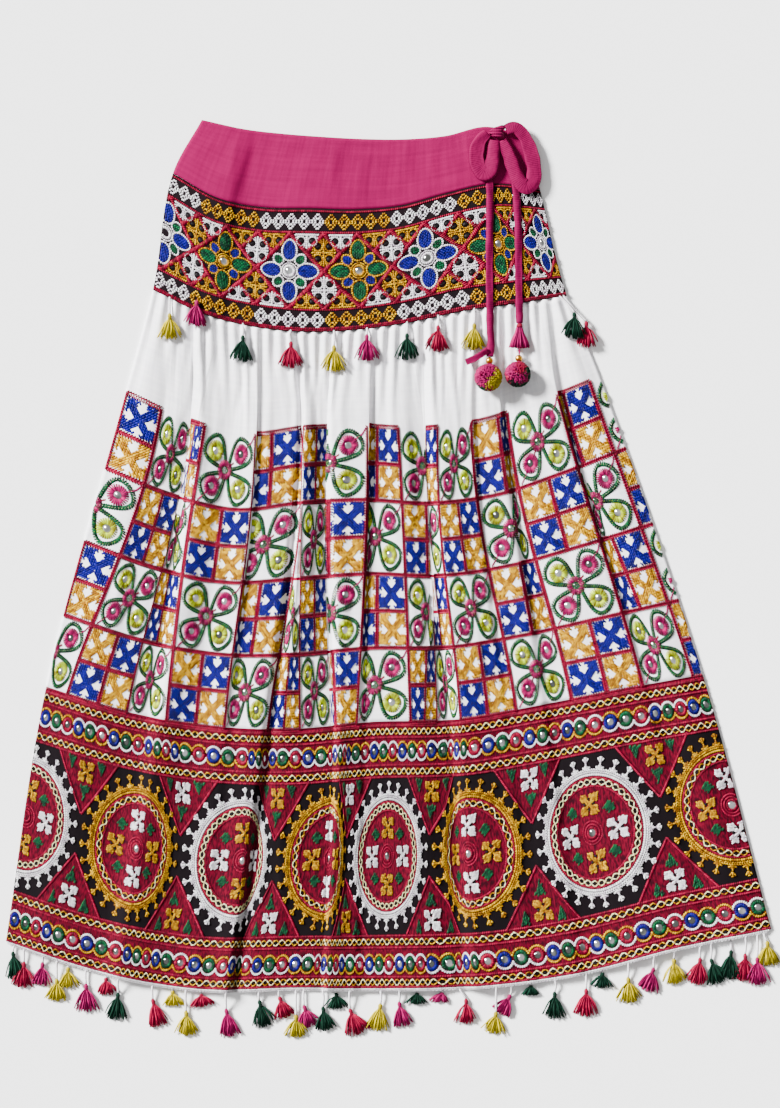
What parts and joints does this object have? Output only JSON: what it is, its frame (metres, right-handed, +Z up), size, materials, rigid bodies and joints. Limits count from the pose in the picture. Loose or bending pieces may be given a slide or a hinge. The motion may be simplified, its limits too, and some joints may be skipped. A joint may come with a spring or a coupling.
{
  "type": "lehenga skirt",
  "caption": "Long gathered skirt with a drawstring waist, an embroidered yoke, white cotton body, mirror-work border and tasselled hem, laid flat.",
  "frame": {"origin": "on the table under the middle of the cloth", "axes": "+Z up from the table, +Y from the hem towards the waist, +X to the wearer's left, which is the right of the picture"},
  "size_m": [0.8927, 1.0602, 0.0353],
  "materials": {
    "magenta_cotton": "plain magenta cotton",
    "yoke_embroidery": "black cotton covered with counted-thread work",
    "white_cotton": "white slub cotton with mirror work",
    "border_embroidery": "crimson cotton with mirror work",
    "crimson_piping": "crimson cotton cord",
    "white_lace": "white cotton lace with yarn tassels",
    "cotton_thread": "white cotton thread",
    "pink_yarn": "cut wool yarn",
    "gold_bead": "gold bead"
  },
  "bodies": {
    "root": {"waistband_back": "magenta_cotton", "waistband_front": "magenta_cotton", "yoke_back": "yoke_embroidery", "yoke_front": "yoke_embroidery", "skirt_back": "white_cotton", "skirt_front": "white_cotton", "border_back": "border_embroidery", "border_front": "border_embroidery", "yoke_piping": "crimson_piping", "hem_lace_front": "white_lace", "hem_lace_back": "white_lace", "drawstring_knot": "magenta_cotton", "drawstring_end_left": "magenta_cotton", "drawstring_end_right": "magenta_cotton", "drawstring_loop_left": "magenta_cotton", "drawstring_loop_right": "magenta_cotton", "drawstring_thread_right": "cotton_thread", "bell_tassel": "pink_yarn", "pompom_left": "pink_yarn", "pompom_right": "pink_yarn", "bead_left": "gold_bead", "bead_right": "gold_bead"}
  },
  "joints": []
}
